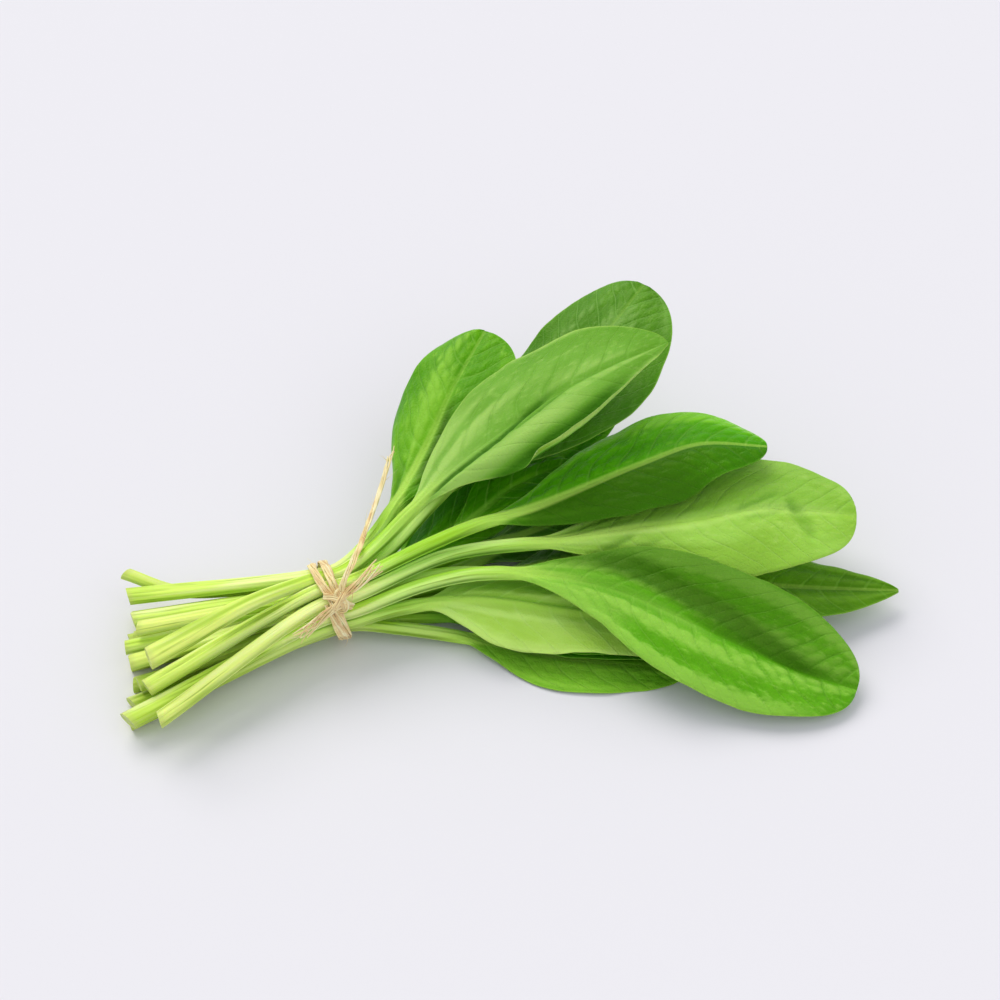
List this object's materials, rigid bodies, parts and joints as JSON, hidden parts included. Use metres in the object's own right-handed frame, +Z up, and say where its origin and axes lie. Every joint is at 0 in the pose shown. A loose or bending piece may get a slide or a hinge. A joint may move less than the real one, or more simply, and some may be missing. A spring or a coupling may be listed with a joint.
{
  "type": "spinach bunch",
  "caption": "Bunch of flat-leaf spinach lying on its side, stems tied with twine and leaves fanned out to one end.",
  "frame": {"origin": "middle of the whole bunch's outline seen from above, on the surface that it lies on", "axes": "+X along the bunch from the cut stem ends to the leaves at the far end, +Y across it towards the side where the leaves stand up, +Z up"},
  "size_m": [0.3022, 0.1996, 0.0755],
  "materials": {
    "leaf": "satin",
    "twine": "matte"
  },
  "bodies": {
    "root": {"leaf_01": "leaf", "leaf_02": "leaf", "leaf_03": "leaf", "leaf_04": "leaf", "leaf_05": "leaf", "leaf_06": "leaf", "leaf_07": "leaf", "leaf_08": "leaf", "leaf_09": "leaf", "leaf_10": "leaf", "leaf_11": "leaf", "leaf_12": "leaf", "leaf_13": "leaf", "leaf_14": "leaf", "leaf_15": "leaf", "leaf_16": "leaf", "leaf_17": "leaf", "leaf_18": "leaf", "leaf_19": "leaf", "twine_tie": "twine"}
  },
  "joints": []
}
